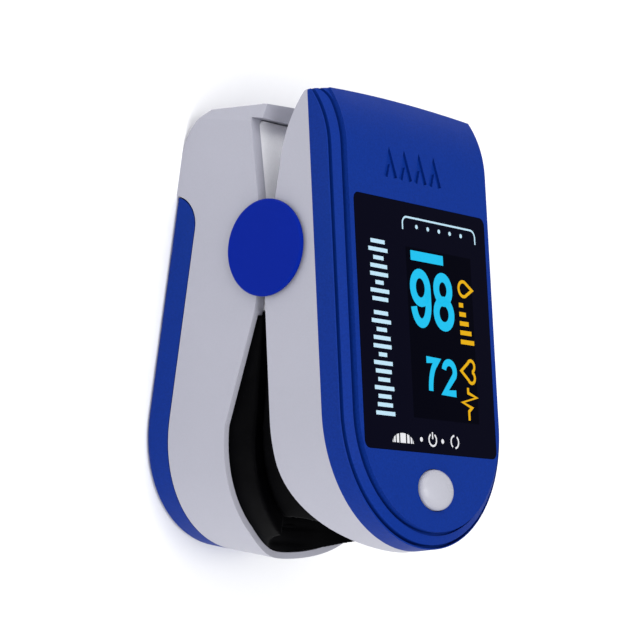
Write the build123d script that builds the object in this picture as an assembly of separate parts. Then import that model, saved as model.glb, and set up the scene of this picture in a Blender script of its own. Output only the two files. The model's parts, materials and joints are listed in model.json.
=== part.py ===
from build123d import *
import math
import os

# Fingertip pulse oximeter: a battery half below, a display half above, joined by a sprung hinge.
# Both halves are modelled about the hinge axis (X), with +Y towards the pinch end and -Y towards
# the finger mouth. The battery half lies level; the display half is modelled level too, and is
# tilted by JAW_TILT about the hinge when the parts are placed. Lengths are millimetres.

# ---------------------------------------------------------------- overall sizes
WIDTH = 33.46
HALF = WIDTH / 2
JAW_TILT = 13.17            # rest angle between the two halves
FAR = 60.0                  # past every edge of the object, for cutters
SEAM = 0.15                 # gap at a parting line
MATE = 0.05                 # gap round a piece that drops into its pocket

# ---------------------------------------------------------------- hinge
EAR_R = 5.6                 # round ears of the battery half
EAR_GAP = 0.3
CAP_R = 6.26                # round cover cap on each side
CAP_PROUD = 0.8
CAP_GAP = 0.3               # keeps the cap clear of the display half's side
CAP_PLUG_R = 2.0            # round plug that presses the cap into the ear
PIN_R = 1.25
PIN_PLAY = 0.05
PIN_FROM = 8.9              # distance of the pin's inner end from the middle
PIN_TO = 16.35
WALL = 1.6                  # side walls of both shells
INNER_EAR_R = 5.2
INNER_EAR = (13.2, 14.8)    # inner and outer faces of the display half's ears
LUG = (8.9, 10.2)           # pin lugs on the battery tray
LUG_R = 2.9
COIL_R = 2.4
COIL_WIRE_R = 0.3
COIL = (10.45, 12.95)       # width of the torsion spring's coil
SPRING_POCKET_R = 4.4

# ---------------------------------------------------------------- display half (own level frame)
U_MOUTH = -22.0             # centre of the round mouth end
U_PINCH = 19.3
U_CORNER = 0.3
U_CROWN = 0.7               # bulge of the pinch end's edge
PARTING = 7.7               # white shell below, blue cover above
SHOULDER = (10.5, 11.57)    # outer and inner height of the sloped shoulder
SHOULDER_IN = 2.1
FACE = 12.0                 # front face of the display half
FALL_Y = 11.6               # where the top starts to fall towards the pinch end
FALL_R = 14.5
GROOVE = 0.42               # width of the two grooves along the shoulder
FACE_GROOVE_FLOOR = 10.8
EDGE_GROOVE_IN = 0.15       # distance of the outer groove from the side
EDGE_GROOVE_FLOOR = 9.6
FLARE = 1.3                 # how far the face groove turns outwards at the pinch end
COVER_WALL = 1.4
COVER_UNDER = 10.2
U_RIM = -0.8                # lower rim of the white shell
ARCH_Y = -27.0              # the rim arches up from here to the mouth
ARCH_R = 13.6
FLOOR_LOW = 3.2             # floor that the finger pad is fixed to
FLOOR_HIGH = 4.3
BOARD = (6.9, 7.9)
BOARD_HALF = HALF - 2.1
BOARD_PINCH = 15.4
BOARD_MOUTH_R = 13.0

# ---------------------------------------------------------------- window and display
WINDOW_X = 13.8
WINDOW_Y = (-26.63, 5.75)
WINDOW_CORNER = 1.0
WINDOW_T = 1.0
TAPE_T = 0.15
TAPE_GAP = 0.2
VIEW_X = (-5.5, 12.3)
VIEW_Y = (-23.5, 1.6)
GLASS_X = (-6.0, 13.0)
GLASS_Y = (-24.5, 3.0)
GLASS_Z = (8.5, 10.0)
FLEX_X = (-2.5, 6.5)        # display ribbon
FLEX_Z = (8.4, 7.98)
FLEX_DROP_Y = -25.9

# ---------------------------------------------------------------- power button
BUTTON_Y = -31.29
BUTTON_R = 2.62             # along the object
BUTTON_STRETCH = 1.3        # the oval cap's width over its length
BUTTON_PLAY = 0.1
BUTTON_PROUD = 1.35
BUTTON_EDGE = 0.1           # height of the cap's straight side above the face
FLANGE_R = 3.4
FLANGE = (9.4, 9.9)
STEM_R = 1.0
SWITCH_TOP = 8.7
PLUNGER_R = 0.8
PLUNGER = (8.45, 9.3)
PLUNGER_TRAVEL = 0.4

# ---------------------------------------------------------------- battery half (own level frame)
L_MOUTH = -23.4
L_PINCH = 18.5
L_CROWN = 0.5
END_BEVEL = (0.8, 2.4)      # bevel at the pinch end's upright edges
BASE = -17.16               # bottom of the battery door
DOOR_TOP = -13.2            # line between the white shell and the door
DOOR_END = 5.5
DOOR_END_R = 4.0
DOOR_WALL = 1.3
DOOR_FLOOR = 0.85
DOOR_EDGE_R = 0.8
SHELL_FLOOR = -16.1
TONGUE_HALF = 1.3           # the door's catch over the shell's floor
TONGUE_TOP = -15.25
FLOOR_CORNER = ((12.9, SHELL_FLOOR), (15.4, -14.0), (17.0, -11.5))
RIB_TOP = -4.0              # stop rib along the pinch end
RIB_FROM = 16.6
RIM = (-0.9, -5.87)         # rim height at the hinge and at the rib
LIP = (12.0, -2.3)          # where the scoop in the mouth's lip starts, and its height there
LIP_LOW = -4.95
LIP_FROM_Y = -34.0
TRAY_GAP = 0.15
SHELF = (-5.6, -4.7)        # tray floor below the finger pad
STEP_DOWN = (-6.7, -5.8)    # lower floor at the mouth
STEP_Y = (-35.9, -35.3)
DECK = (-7.6, -6.8)         # tray floor on the pinch side
BULKHEAD_Y = (-7.9, -6.4)
ARM_REST_X = (10.3, 11.3)   # rest for the torsion spring's lower arm
ARM_REST_Y = (3.6, 5.4)
ARM_REST_TOP = -3.85
ARM_TILT = 12.0
ARM_LENGTH = 5.2
HINGE_COVER_Y = (6.2, 16.45)    # sloped plate over the springs' arms and the tray's screws
HINGE_COVER_DOWN = 0.1      # its depth below the shell's rim
HINGE_COVER_T = 0.8

# ---------------------------------------------------------------- cells
CELL_R = 5.25
CELL_BODY = 43.7
CELL_NUB = 0.8
CELL_NUB_R = 1.9
CELL_X = 5.3
CELL_Z = -10.75
BAY_R = 5.35
BAY_HALF = 10.9
BAY_WALL = 0.75
TROUGH_WALL = 0.7
BAY_Y = (-35.2, 13.4)
BAY_MOUTH_R = 14.0
LEFT_CELL_TIP = 13.05       # the left cell's nub faces the pinch end
RIGHT_CELL_TIP = -33.4      # the right cell's nub faces the mouth
PLATE_T = 0.3
PLATE_DOWN = 3.2
PLATE_UP = 1.9
WEB_RISE = 2.0              # the troughs' shared roof above the cells' middle

# ---------------------------------------------------------------- finger pads and channel
CHANNEL_R = 9.5
PAD_MARGIN = 1.75
SENSOR_Y = -21.0
PAD_LOW = -2.9              # pad surface over the photodiode
PAD_SLOPE = 6.3             # the lower channel falls towards the mouth
PAD_HIGH = 2.0              # pad surface under the emitter, in the display half's frame
FLARE_TILT = 22.0           # the upper channel opens out towards the mouth
FLARE_Y = -29.0
PAD_SEAM = 0.2
SEAM_LINE = ((-8.1, 0.15), (-30.0, 1.9), (-40.0, 2.6))
RIM_SHOWS = 0.85            # width of the shell's rim left bare outside the lower pad
PAD_LEDGE = ((-8.6, -1.7), (-23.1, -4.2), (-27.0, -4.6), (-36.0, -4.6), (-36.0, -5.7), (-40.5, -5.7))
LENS_R = 2.3

# ---------------------------------------------------------------- screws
SCREW_HEAD_R = 1.3
SCREW_SHANK_R = 0.7
SCREW_HOLE_R = 0.8
BOSS_R = 2.0
THREAD_PLAY = 0.02
SCREW_BITE = 3.4            # how far a tray screw reaches into its boss


# ================================================================ helpers
def plan(half, mouth, pinch, corner=0.0, crown=0.0, bevel=None, flare=0.0):
    """Outline seen from above: straight sides, a half-round mouth end and a square pinch end."""
    if flare:
        start = pinch - 2 * flare
        right = [
            Line((half, mouth), (half, start)),
            ThreePointArc((half, start), (half + 0.2 * flare, start + flare), (half + flare, pinch)),
        ]
        edge_x = half + flare
    elif bevel:
        right = [Polyline((half, mouth), (half, pinch - bevel[1]), (half - bevel[0], pinch))]
        edge_x = half - bevel[0]
    elif corner:
        slack = corner * (1 - math.sqrt(0.5))
        right = [
            Line((half, mouth), (half, pinch - corner)),
            ThreePointArc((half, pinch - corner), (half - slack, pinch - slack), (half - corner, pinch)),
        ]
        edge_x = half - corner
    else:
        right = [Line((half, mouth), (half, pinch))]
        edge_x = half
    left = [mirror(edge, about=Plane.YZ) for edge in right]
    if crown:
        end = ThreePointArc((edge_x, pinch), (0, pinch + crown), (-edge_x, pinch))
    else:
        end = Line((edge_x, pinch), (-edge_x, pinch))
    mouth_arc = ThreePointArc((-half, mouth), (0, mouth - half), (half, mouth))
    edges = [edge for item in (*right, end, *left, mouth_arc) for edge in item.edges()]
    return make_face(edges)


def slab(half, mouth, pinch, low, high, **ends):
    """The plan outline, extruded from low to high."""
    return extrude(Pos(0, 0, low) * plan(half, mouth, pinch, **ends), amount=high - low)


def side_prism(edges, x_from=-FAR, x_to=FAR):
    """A closed side-view outline in Y and Z, extruded along X."""
    return extrude(Plane.YZ.offset(x_from) * make_face(edges), amount=x_to - x_from)


def side_polygon(*points, x_from=-FAR, x_to=FAR):
    """A side-view polygon, extruded along X."""
    return side_prism(Polyline(*points, close=True).edges(), x_from, x_to)


def block(x_span, y_span, z_span, corner=0.0):
    """A box between two limits along each axis, with optional round upright edges."""
    size = [high - low for low, high in (x_span, y_span, z_span)]
    centre = [(low + high) / 2 for low, high in (x_span, y_span, z_span)]
    if corner:
        outline = Pos(centre[0], centre[1], z_span[0]) * RectangleRounded(size[0], size[1], corner)
        return extrude(outline, amount=size[2])
    return Pos(*centre) * Box(*size)


def disc_x(radius, x_from, x_to, y=0.0, z=0.0):
    """A cylinder along X."""
    length = x_to - x_from
    return Pos((x_from + x_to) / 2, y, z) * Rot(0, 90, 0) * Cylinder(radius, length)


def rod_y(radius, x, z, y_from, y_to):
    """A cylinder along Y."""
    return Pos(x, (y_from + y_to) / 2, z) * Rot(90, 0, 0) * Cylinder(radius, y_to - y_from)


def post(radius, x, y, z_from, z_to):
    """An upright cylinder."""
    return Pos(x, y, (z_from + z_to) / 2) * Cylinder(radius, z_to - z_from)


def both_sides(shape):
    """The shape and its mirror image across the middle."""
    return shape + mirror(shape, about=Plane.YZ)


def falling_top(top):
    """Everything below a level top that curves down towards the pinch end."""
    reach = U_PINCH + U_CROWN + 0.5 - FALL_Y

    def height(distance):
        return top - FALL_R + math.sqrt(FALL_R**2 - distance**2)

    end = (FALL_Y + reach, height(reach))
    curve = ThreePointArc((FALL_Y, top), (FALL_Y + reach / 2, height(reach / 2)), end)
    rest = Polyline(end, (end[0], -FAR), (-FAR, -FAR), (-FAR, top), (FALL_Y, top))
    return side_prism([*curve.edges(), *rest.edges()])


def cover_groove(half, floor, flare=0.0):
    """A groove that runs round the cover at a distance from the middle and follows the falling top."""
    ring = slab(half + GROOVE, U_MOUTH, U_PINCH + U_CROWN, PARTING, FACE, flare=flare)
    ring -= slab(half, U_MOUTH, U_PINCH + U_CROWN, PARTING, FACE, flare=flare)
    return ring - falling_top(floor)


def to_display_frame(y, z):
    """A side-view point of the battery half, in the display half's level frame."""
    angle = math.radians(JAW_TILT)
    return (y * math.cos(angle) - z * math.sin(angle), y * math.sin(angle) + z * math.cos(angle))


# ================================================================ display half
COVER_SCREWS = ((11.5, -28.0), (10.5, 12.0))    # places on the +X side, mirrored to -X
COVER_SCREW_FLOORS = (FLOOR_LOW, 2.9)           # underside of the white shell at each place
COVER_SCREW_TIP = 9.7


def upper_cover():
    far_end = U_PINCH + U_CROWN
    face_half = HALF - SHOULDER_IN
    low, high = SHOULDER
    shoulder = slab(HALF, U_MOUTH, far_end, PARTING, high) & falling_top(high)
    boxes = [(edge, edge.bounding_box().min) for edge in shoulder.edges()]
    rim = [edge for edge, corner in boxes if corner.Z > PARTING + 0.1 and corner.Y < far_end - 0.1]
    shoulder = chamfer(rim, high - low, SHOULDER_IN)
    cover = shoulder + (slab(face_half, U_MOUTH, far_end, PARTING, FACE) & falling_top(FACE))
    cover &= slab(HALF, U_MOUTH, U_PINCH, PARTING, FACE, corner=U_CORNER, crown=U_CROWN)
    cover -= cover_groove(face_half, FACE_GROOVE_FLOOR, flare=FLARE)
    cover -= cover_groove(HALF - EDGE_GROOVE_IN - GROOVE, EDGE_GROOVE_FLOOR)

    hollow = slab(HALF - COVER_WALL, U_MOUTH, U_PINCH - COVER_WALL, 0, COVER_UNDER, corner=1.0)
    hollow &= side_polygon(
        (-FAR, 0), (-FAR, COVER_UNDER), (12.5, COVER_UNDER), (17.8, 8.3), (17.8, 0)
    )
    cover -= hollow
    bosses = [
        both_sides(
            post(BOSS_R, x, y, BOARD[1], COVER_UNDER)
            - post(SCREW_SHANK_R + THREAD_PLAY, x, y, 0, COVER_SCREW_TIP + MATE)
        )
        for x, y in COVER_SCREWS
    ]
    for boss in bosses:
        cover += boss
    ledge = FACE - WINDOW_T - TAPE_T
    cover -= block((-WINDOW_X, WINDOW_X), WINDOW_Y, (ledge, FACE + 1), corner=WINDOW_CORNER)
    cover -= block(VIEW_X, VIEW_Y, (PARTING, FACE), corner=WINDOW_CORNER)
    hole = Ellipse(BUTTON_R * BUTTON_STRETCH + BUTTON_PLAY, BUTTON_R + BUTTON_PLAY)
    cover -= extrude(Pos(0, BUTTON_Y, PARTING) * hole, amount=FACE - PARTING + 1)
    for mark in thumb_marks():
        cover -= mark
    return cover


def thumb_marks():
    """Engraved chevrons that show where the thumb presses."""
    depth = 0.35
    half = 1.0
    foot, tip = 8.6, 11.5
    marks = []
    for x in (-6.0, -2.9, 0.2, 3.3):
        chevron = Polyline((x - half, foot), (x, tip), (x + half, foot))
        outline = trace(chevron, line_width=0.75)
        marks.append(extrude(Pos(0, 0, FACE - depth) * outline, amount=2 * depth))
    return marks


def window_block(gap, z_span):
    """A block that fills the window's pocket, apart from a gap all round."""
    return block(
        (-WINDOW_X + gap, WINDOW_X - gap),
        (WINDOW_Y[0] + gap, WINDOW_Y[1] - gap),
        z_span,
        corner=WINDOW_CORNER - gap,
    )


def display_window():
    return window_block(MATE, (FACE - WINDOW_T, FACE))


def window_tape():
    thickness = (FACE - WINDOW_T - TAPE_T, FACE - WINDOW_T)
    inner = block(
        (VIEW_X[0] - TAPE_GAP, VIEW_X[1] + TAPE_GAP),
        (VIEW_Y[0] - TAPE_GAP, VIEW_Y[1] + TAPE_GAP),
        thickness,
        corner=0.8,
    )
    return window_block(TAPE_GAP, thickness) - inner


def display_glass():
    return block(GLASS_X, GLASS_Y, GLASS_Z, corner=0.3)


def display_holder():
    frame = 1.2
    rim = 0.5
    top = 9.4
    outer = block(
        (GLASS_X[0] - rim, GLASS_X[1] + rim),
        (GLASS_Y[0] - rim, GLASS_Y[1] + rim),
        (BOARD[1], top),
        corner=0.8,
    )
    seat = block(
        (GLASS_X[0] - MATE, GLASS_X[1] + MATE), (GLASS_Y[0] - MATE, GLASS_Y[1] + MATE), (GLASS_Z[0], FACE)
    )
    opening = block(
        (GLASS_X[0] + frame, GLASS_X[1] - frame), (GLASS_Y[0] + frame, GLASS_Y[1] - frame), (BOARD[0], FACE)
    )
    notch = block(
        (FLEX_X[0] - 0.2, FLEX_X[1] + 0.2), (FLEX_DROP_Y - 1, GLASS_Y[0] + 3), (FLEX_Z[0] - 0.2, FACE)
    )
    return outer - seat - opening - notch


def display_flex():
    """Ribbon from under the display glass, over the holder's edge, down to the board."""
    high, low = FLEX_Z
    path = FilletPolyline(
        (-23.8, high), (FLEX_DROP_Y, high), (FLEX_DROP_Y, low), (-27.5, low), radius=0.15
    )
    film = Plane.YZ.offset(FLEX_X[0]) * trace(path, line_width=0.12)
    return extrude(film, amount=FLEX_X[1] - FLEX_X[0])


def main_board():
    board = slab(BOARD_HALF, U_MOUTH, BOARD_PINCH, *BOARD, corner=1.5)
    board &= slab(BOARD_HALF, U_MOUTH, FAR, *BOARD) & (
        block((-FAR, FAR), (U_MOUTH, FAR), BOARD) + post(BOARD_MOUTH_R, 0, U_MOUTH, *BOARD)
    )
    board -= both_sides(block((INNER_EAR[0] - 0.2, HALF), (-5.4, 5.4), BOARD))
    for x, y in COVER_SCREWS:
        board -= both_sides(post(SCREW_HOLE_R + 0.15, x, y, 0, FACE))
    return board


def chip(x, y, size_x, size_y, height, top_side=True, notch=True):
    """A moulded chip on the board's top or underside, with a pin-one dimple."""
    low, high = (BOARD[1], BOARD[1] + height) if top_side else (BOARD[0] - height, BOARD[0])
    half_x, half_y = size_x / 2, size_y / 2
    body = block((x - half_x, x + half_x), (y - half_y, y + half_y), (low, high), corner=0.25)
    if notch:
        face = high if top_side else low
        body -= Pos(x - half_x + 0.8, y + half_y - 0.8, face) * Cylinder(0.3, 0.2)
    return body


def chip_parts():
    """Small chip resistors and capacitors along the left edge of the board's top."""
    parts = []
    for row, y in enumerate((-20.0, -17.6, -15.2, -12.8, -10.4, -3.0, -0.6)):
        x = -9.2 if row % 2 else -11.6
        parts.append(Pos(x, y, BOARD[1] + 0.3) * Box(1.6, 0.8, 0.6))
    return Compound(parts)


def inductor():
    x, y = -10.4, 2.6
    coil = post(1.7, x, y, BOARD[1], BOARD[1] + 1.6)
    return coil - post(0.7, x, y, BOARD[1] + 1.3, BOARD[1] + 2)


def flex_connector():
    body = block((-3.6, 3.6), (8.0, 10.6), (5.7, BOARD[0]))
    return body - block((-3.05, 3.05), (7.0, 9.6), (6.0, 6.45))


def switch_body():
    body = block((-2.1, 2.1), (BUTTON_Y - 1.6, BUTTON_Y + 1.6), (BOARD[1], SWITCH_TOP), corner=0.3)
    return body - post(PLUNGER_R + MATE, 0, BUTTON_Y, PLUNGER[0] - PLUNGER_TRAVEL, SWITCH_TOP + 1)


def switch_plunger():
    return post(PLUNGER_R, 0, BUTTON_Y, *PLUNGER)


def power_button():
    """Oval domed cap with a hidden flange, and a stem that reaches the switch."""
    edge = FACE + BUTTON_EDGE
    rise = BUTTON_PROUD - BUTTON_EDGE
    low, high = FLANGE
    outline = Polyline(
        (0, edge + rise), (0, low), (FLANGE_R, low), (FLANGE_R, high), (BUTTON_R, high), (BUTTON_R, edge)
    )
    dome = EllipticalCenterArc((0, edge), BUTTON_R, rise, start_angle=0, arc_size=90)
    cap = revolve(Plane.XZ * make_face([*outline.edges(), *dome.edges()]), axis=Axis.Z)
    cap -= Pos(0, 0, FLANGE[0]) * Cylinder(BUTTON_R - 1.0, 1.6)
    cap = scale(cap, by=(BUTTON_STRETCH, 1, 1))
    cap += Pos(0, 0, (PLUNGER[1] + 11) / 2) * Cylinder(STEM_R, 11 - PLUNGER[1])
    return Pos(0, BUTTON_Y, 0) * cap


def emitter_board():
    return block((-4.5, 4.5), (SENSOR_Y - 3.5, SENSOR_Y + 3.5), (FLOOR_HIGH, FLOOR_HIGH + 0.7), corner=0.6)


def emitter_leds():
    """Red and infra-red dies in one moulded package."""
    return block((-1.6, 1.6), (SENSOR_Y - 1.3, SENSOR_Y + 1.3), (FLOOR_LOW + 0.35, FLOOR_HIGH), corner=0.2)


def emitter_lens():
    return post(LENS_R, 0, SENSOR_Y, PAD_HIGH + 0.2, FLOOR_LOW + 0.3)


def upper_shell():
    body = slab(HALF, U_MOUTH, U_PINCH, -6, PARTING, corner=U_CORNER, crown=U_CROWN)
    mouth_y = U_MOUTH - HALF - 1
    arch_centre = (ARCH_Y, U_RIM + ARCH_R)

    def arch(y):
        return arch_centre[1] - math.sqrt(ARCH_R**2 - (y - ARCH_Y) ** 2)

    arch_mid = (ARCH_Y + mouth_y) / 2
    pinch_tip = (U_PINCH + U_CROWN + 1, 9.05)
    rim = [
        ThreePointArc((mouth_y, arch(mouth_y)), (arch_mid, arch(arch_mid)), (ARCH_Y, U_RIM)),
        Polyline((ARCH_Y, U_RIM), (-1.0, U_RIM), (1.2, 0.3), (10.36, 2.63)),
        ThreePointArc((10.36, 2.63), (15.2, 4.3), (19.3, 7.38)),
        Polyline((19.3, 7.38), pinch_tip, (mouth_y, pinch_tip[1]), (mouth_y, arch(mouth_y))),
    ]
    body &= side_prism([edge for item in rim for edge in item.edges()])

    above = slab(HALF - WALL, U_MOUTH, U_PINCH - WALL, -2, FACE, corner=1.0)
    above &= side_polygon(
        (-FAR, FACE), (-37.13, 7.2), (-31.0, FLOOR_HIGH), (-7.5, FLOOR_HIGH), (-6.0, 5.4), (6.5, 5.4),
        (8.5, 4.0), (14.0, 5.4), (16.8, 7.0), (U_PINCH, FACE),
    )
    below = slab(HALF - WALL, U_MOUTH, -8.0, -FAR, FACE)
    below &= side_polygon(
        (-FAR, -FAR), (-7.9, -FAR), (-7.9, FLOOR_LOW), (-30.5, FLOOR_LOW), (-37.13, 6.2), (-FAR, 6.2)
    )
    body -= above
    body -= below

    ear_clear = EAR_R + EAR_GAP
    body -= both_sides(disc_x(ear_clear, HALF - WALL - EAR_GAP, HALF + 1))
    body -= both_sides(disc_x(SPRING_POCKET_R, LUG[0] - EAR_GAP, INNER_EAR[0]))
    body -= both_sides(block((LUG[0] - EAR_GAP, INNER_EAR[0]), (0, 6.0), (-3, COIL_R + COIL_WIRE_R)))
    ear = disc_x(INNER_EAR_R, *INNER_EAR)
    ear += block(INNER_EAR, (-5.2, 5.2), (0, PARTING))
    ear += block((INNER_EAR[1] - 0.1, HALF - WALL + 0.1), (-5.2, 5.2), (ear_clear + 0.3, PARTING))
    ear &= slab(HALF, U_MOUTH, U_PINCH, -8, PARTING)
    body += both_sides(ear)
    body -= both_sides(disc_x(PIN_R + PIN_PLAY, LUG[0], HALF))

    body -= block((-2.0, 2.0), (SENSOR_Y - 1.7, SENSOR_Y + 1.7), (FLOOR_LOW - 1, FLOOR_HIGH + 1))
    body -= post(LENS_R + MATE, 0, SENSOR_Y, FLOOR_LOW - 1, FLOOR_LOW + 0.35)
    body -= block((-3.4, 3.4), (4.6, 6.4), (-2, FACE))
    for (x, y), low in zip(COVER_SCREWS, COVER_SCREW_FLOORS):
        body += both_sides(post(BOSS_R, x, y, FLOOR_HIGH - 0.2, BOARD[0]))
        body -= both_sides(post(SCREW_HOLE_R, x, y, low - 1, FACE))
        body -= both_sides(post(SCREW_HEAD_R + 0.1, x, y, low - 1, low + 1.0))
    return body


def cross_recess(x, y, low, high):
    """The cross cut into a screw's head."""
    long_half, short_half = 0.9, 0.15
    cross = block((x - long_half, x + long_half), (y - short_half, y + short_half), (low, high))
    return cross + block((x - short_half, x + short_half), (y - long_half, y + long_half), (low, high))


def cover_screws():
    """Four self-tapping screws that hold the white shell, the board and the cover together."""
    screws = []
    for (x, y), low in zip(COVER_SCREWS, COVER_SCREW_FLOORS):
        screw = post(SCREW_HEAD_R, x, y, low + 0.15, low + 1.0)
        screw += post(SCREW_SHANK_R, x, y, low + 0.9, COVER_SCREW_TIP)
        screw -= cross_recess(x, y, low, low + 0.5)
        screws += [screw, mirror(screw, about=Plane.YZ)]
    return Compound(screws)


def upper_pad():
    body = slab(HALF - PAD_MARGIN, U_MOUTH, -8.1, -10, FACE)
    flap = [to_display_frame(y, z + PAD_SEAM) for y, z in SEAM_LINE]
    under = FLOOR_LOW - MATE
    body &= side_polygon(
        (-8.1, under), (-30.5, under), (flap[2][0], 6.5), flap[2], flap[1], (-8.1, flap[0][1])
    )
    body -= rod_y(CHANNEL_R, 0, PAD_HIGH - CHANNEL_R, -FAR, FAR)
    flare_z = PAD_HIGH - CHANNEL_R / math.cos(math.radians(FLARE_TILT))
    flare = Pos(0, FLARE_Y, flare_z) * Rot(90 - FLARE_TILT, 0, 0) * Cylinder(CHANNEL_R, 2 * FAR)
    body -= flare & block((-FAR, FAR), (-FAR, FLARE_Y), (-FAR, FAR))
    body -= post(LENS_R + MATE, 0, SENSOR_Y, 0, FACE)
    return body


# ================================================================ battery half
TRAY_SCREWS = ((13.45, -14.0, SHELF[0], SHELF[1]), (13.45, 9.5, DECK[0], DECK[1]))
TRAY_BOSS_R = 1.65
TRAY_BOSS_FOOT = -12.0


def lower_profile():
    """Side view of the battery half's white shell, as edges in Y and Z."""
    mouth_rim = LIP[1] + 0.1
    under = DOOR_TOP + SEAM
    end_r = DOOR_END_R + SEAM
    centre_y = DOOR_END - DOOR_END_R
    slack = end_r * math.sqrt(0.5)
    return [
        Polyline((-FAR, mouth_rim), (-FAR, under), (centre_y, under)),
        ThreePointArc((centre_y, under), (centre_y + slack, BASE + slack), (centre_y + end_r, BASE)),
        Line((centre_y + end_r, BASE), (11.2, BASE)),
        ThreePointArc((11.2, BASE), (14.3, -16.3), (16.4, -14.6)),
        Polyline(
            (16.4, -14.6), (17.35, -13.3), (18.45, -4.9), (L_PINCH + 1, RIB_TOP), (RIB_FROM, RIB_TOP),
            (RIB_FROM, RIM[1]), (0.0, RIM[0]), (-8.2, -0.8), (-23.1, -3.24), (-38.0, LIP[1]),
            (-FAR, mouth_rim),
        ),
    ]


def lip_scoop():
    """The smooth dip in the middle of the mouth's lip, as a cutter along Y."""
    x, z = LIP
    dip = Spline((-x, z), (0, LIP_LOW), (x, z), tangents=[(1, 0), (1, 0)])
    above = Polyline((x, z), (x, FAR), (-x, FAR), (-x, z))
    face = make_face([*dip.edges(), *above.edges()])
    return extrude(Plane.XZ.offset(-LIP_FROM_Y) * face, amount=FAR)


def lower_shell():
    body = slab(HALF, L_MOUTH, L_PINCH, BASE, 4, bevel=END_BEVEL, crown=L_CROWN)
    edges = [edge for item in lower_profile() for edge in item.edges()]
    body &= side_prism(edges)
    hollow = slab(HALF - WALL, L_MOUTH, RIB_FROM, SHELL_FLOOR, 6, corner=1.0)
    body -= hollow & side_polygon((-FAR, SHELL_FLOOR), *FLOOR_CORNER, (17.0, 6), (-FAR, 6))
    body -= lip_scoop()
    seat = slab(HALF - RIM_SHOWS, L_MOUTH, PAD_LEDGE[0][0], -10, FACE)
    body -= seat & side_polygon(*PAD_LEDGE, (PAD_LEDGE[-1][0], FACE), (PAD_LEDGE[0][0], FACE))
    body += both_sides(disc_x(EAR_R, HALF - WALL, HALF))
    for x, y, low, _ in TRAY_SCREWS:
        boss = post(TRAY_BOSS_R, x, y, TRAY_BOSS_FOOT, low)
        boss += block((x, HALF - 1.0), (y - 1.2, y + 1.2), (TRAY_BOSS_FOOT, low))
        body += both_sides(boss - post(SCREW_SHANK_R + THREAD_PLAY, x, y, TRAY_BOSS_FOOT + 0.5, low + 1))
    body -= both_sides(disc_x(PIN_R, PIN_FROM, HALF + 1))
    body -= both_sides(disc_x(CAP_PLUG_R + MATE, HALF - 0.85, HALF + 1))
    return body


def bay_outline(half, cell_r, y_span, mouth_r, low):
    """Two half-round cell troughs side by side, open below."""
    trough = block((-half, half), y_span, (low, CELL_Z))
    for x in (-CELL_X, CELL_X):
        trough += rod_y(cell_r, x, CELL_Z, *y_span)
    trough += block((-CELL_X, CELL_X), y_span, (CELL_Z, CELL_Z + WEB_RISE))
    return trough & slab(mouth_r, L_MOUTH, FAR, low, FACE)


def battery_tray():
    inside = HALF - WALL - TRAY_GAP
    shelf = slab(inside, L_MOUTH, BULKHEAD_Y[1], *SHELF) & block((-FAR, FAR), (STEP_Y[0], FAR), SHELF)
    low_shelf = slab(inside, L_MOUTH, STEP_Y[1], *STEP_DOWN)
    low_shelf &= block((-FAR, FAR), (-FAR, STEP_Y[1]), STEP_DOWN)
    deck = slab(inside, L_MOUTH, RIB_FROM - TRAY_GAP, *DECK, corner=0.9)
    deck &= block((-FAR, FAR), (BULKHEAD_Y[0], FAR), DECK)
    bulkhead = block((-inside, inside), BULKHEAD_Y, (DECK[0], 0.3))
    bay_y = (BAY_Y[0] - BAY_WALL, BAY_Y[1] + BAY_WALL)
    tray = bay_outline(BAY_HALF + BAY_WALL, BAY_R + TROUGH_WALL, bay_y, inside, SHELL_FLOOR + TRAY_GAP)
    corner = [(y - TRAY_GAP, z + TRAY_GAP) for y, z in FLOOR_CORNER]
    tray &= side_polygon((-FAR, -FAR), *corner, (17, 0), (-FAR, 0))
    tray += shelf
    tray += low_shelf
    tray += deck
    tray += bulkhead
    tray += both_sides(disc_x(LUG_R, *LUG) + block(LUG, (-LUG_R, LUG_R), (DECK[0], 0)))
    tray += both_sides(block(ARM_REST_X, ARM_REST_Y, (DECK[0], ARM_REST_TOP)))
    tray -= bay_outline(BAY_HALF, BAY_R, BAY_Y, BAY_MOUTH_R, BASE - 1)
    tray -= block((-3.4, 3.4), BULKHEAD_Y, (SHELF[1], SHELF[1] + 1.2))
    tray -= both_sides(disc_x(PIN_R, *LUG))
    for x, y, _, _ in TRAY_SCREWS:
        tray -= both_sides(post(SCREW_HOLE_R, x, y, -12, 0))
    way = (-TONGUE_HALF - 0.4, TONGUE_HALF + 0.4)
    tray -= block(way, (DOOR_END - 3.0, DOOR_END + 2.6), (SHELL_FLOOR - 1, TONGUE_TOP + 0.4))
    tray -= block(way, (BAY_Y[0] - 2, BAY_Y[0] + 0.3), (SHELL_FLOOR - 1, TONGUE_TOP + 0.4))
    return tray


def hinge_cover():
    """Sloped plate just below the rim of the pinch end, on four legs."""

    def under_rim(y):
        return RIM[0] + (RIM[1] - RIM[0]) * y / RIB_FROM - HINGE_COVER_DOWN

    near, far = HINGE_COVER_Y
    inside = HALF - WALL - TRAY_GAP
    plate = slab(inside, 0, far, DECK[1], 0, corner=0.9)
    plate &= side_polygon(
        (near, under_rim(near)), (far, under_rim(far)),
        (far, under_rim(far) - HINGE_COVER_T), (near, under_rim(near) - HINGE_COVER_T),
    )
    plate -= block((-3.4, 3.4), (near - 1, near + 1.0), (DECK[1], 0))
    trough_end = BAY_Y[1] + BAY_WALL + MATE
    plate -= both_sides(rod_y(BAY_R + TROUGH_WALL + MATE, CELL_X, CELL_Z, 0, trough_end))
    for y in (7.4, 14.5):
        plate += both_sides(post(0.8, 11.6, y, DECK[1], under_rim(y) - HINGE_COVER_T / 2))
    return plate


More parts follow.
